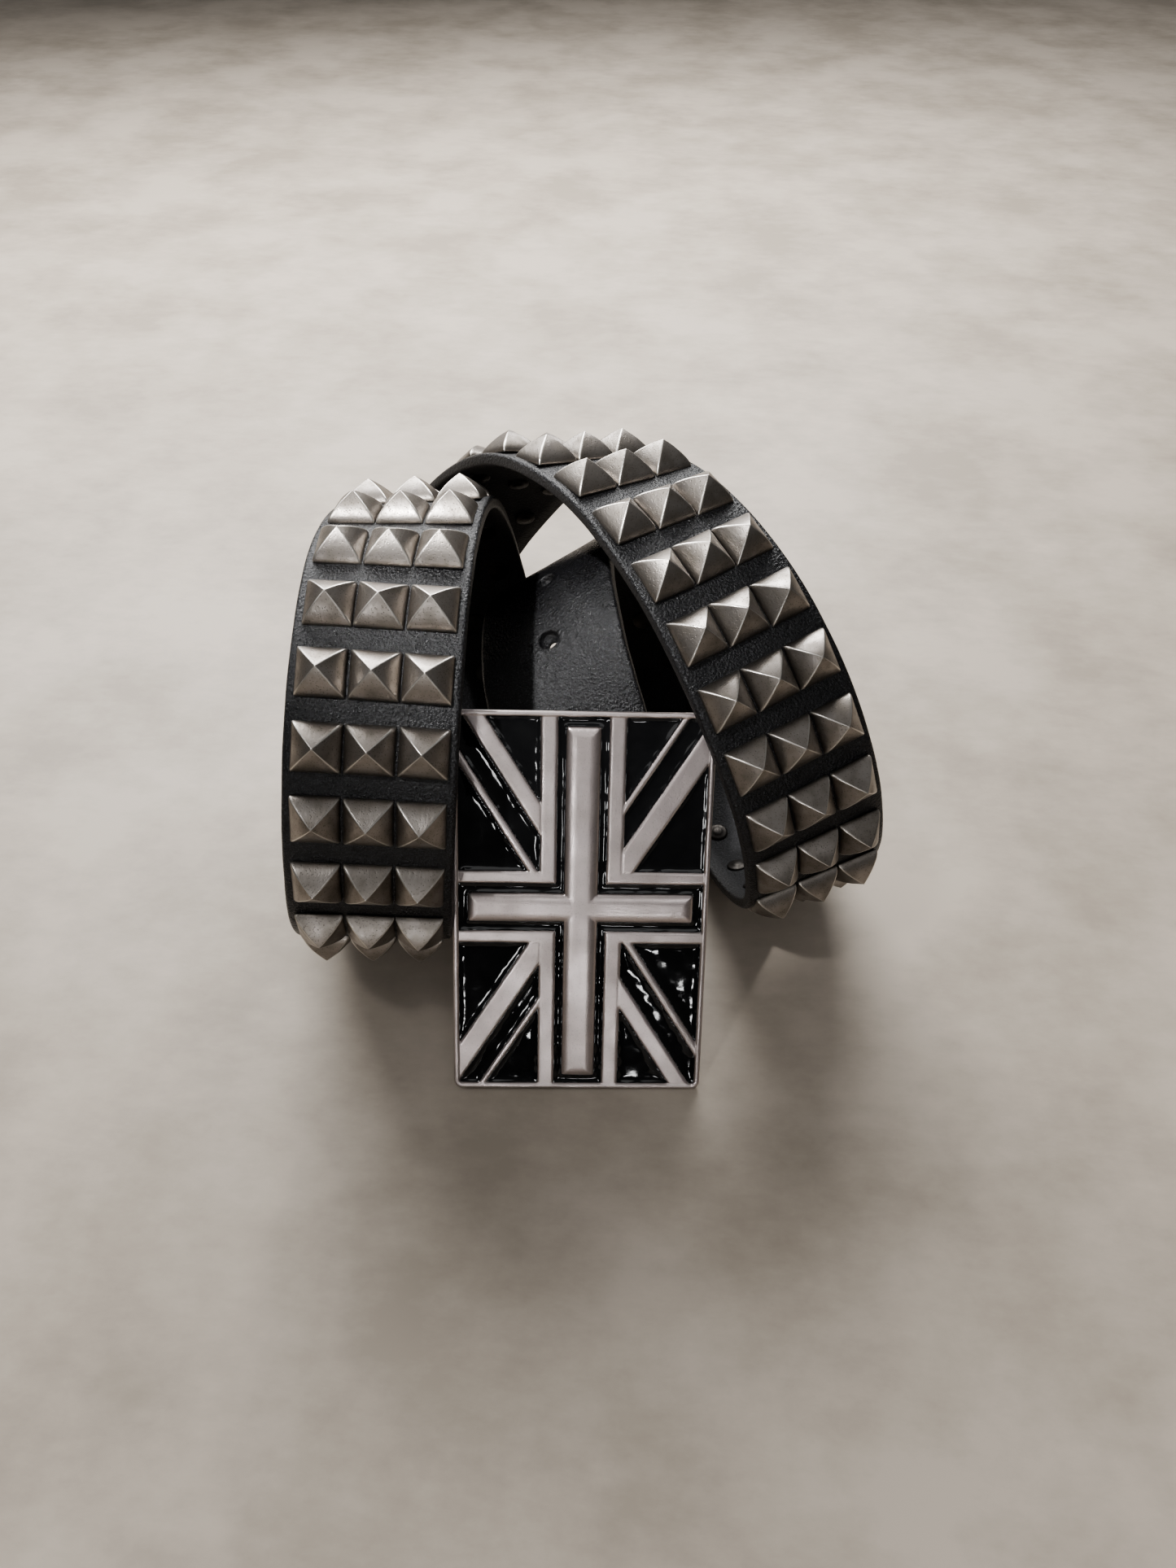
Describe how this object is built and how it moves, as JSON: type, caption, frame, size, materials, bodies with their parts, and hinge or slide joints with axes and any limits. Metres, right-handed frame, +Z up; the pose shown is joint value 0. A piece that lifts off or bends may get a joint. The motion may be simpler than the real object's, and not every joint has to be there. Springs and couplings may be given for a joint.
{
  "type": "studded belt",
  "caption": "Leather belt with three rows of pyramid studs and a cast plate buckle, fastened and coiled standing on its edge.",
  "frame": {"origin": "bottom centre of the bounding box of the fastened, coiled belt, on the floor it stands on", "axes": "+Z up, -Y towards the buckle's face and the picture's camera, +X to the right in the picture"},
  "size_m": [0.1746, 0.1754, 0.1384],
  "materials": {
    "strap": "black fine-grained leather, satin, with burnished cut edges",
    "studs": "worn pewter-grey pressed metal, brushed and pitted, brighter on the ridges",
    "buckle": "satin cast nickel plate, faintly pink, with polished edges",
    "fittings": "plain bright wire"
  },
  "bodies": {
    "root": {"buckle_bail": "fittings", "buckle_hook": "fittings", "buckle_plate": "buckle", "strap": "strap", "stud_row_01": "studs", "stud_row_02": "studs", "stud_row_03": "studs", "stud_row_04": "studs", "stud_row_05": "studs", "stud_row_06": "studs", "stud_row_07": "studs", "stud_row_08": "studs", "stud_row_09": "studs", "stud_row_10": "studs", "stud_row_11": "studs", "stud_row_12": "studs", "stud_row_13": "studs", "stud_row_14": "studs", "stud_row_15": "studs", "stud_row_16": "studs", "stud_row_17": "studs", "stud_row_18": "studs", "stud_row_19": "studs", "stud_row_20": "studs", "stud_row_21": "studs", "stud_row_22": "studs", "stud_row_23": "studs", "stud_row_24": "studs", "stud_row_25": "studs", "stud_row_26": "studs", "stud_row_27": "studs", "stud_row_28": "studs", "stud_row_29": "studs", "stud_row_30": "studs", "stud_row_31": "studs", "stud_row_32": "studs", "stud_row_33": "studs", "stud_row_34": "studs", "stud_row_35": "studs", "stud_row_36": "studs", "stud_row_37": "studs", "stud_row_38": "studs", "stud_row_39": "studs", "stud_row_40": "studs", "stud_row_41": "studs", "stud_row_42": "studs", "stud_row_43": "studs", "stud_row_44": "studs", "stud_row_45": "studs", "stud_row_46": "studs", "stud_row_47": "studs", "stud_row_48": "studs", "stud_row_49": "studs", "stud_row_50": "studs", "stud_row_51": "studs"}
  },
  "joints": []
}
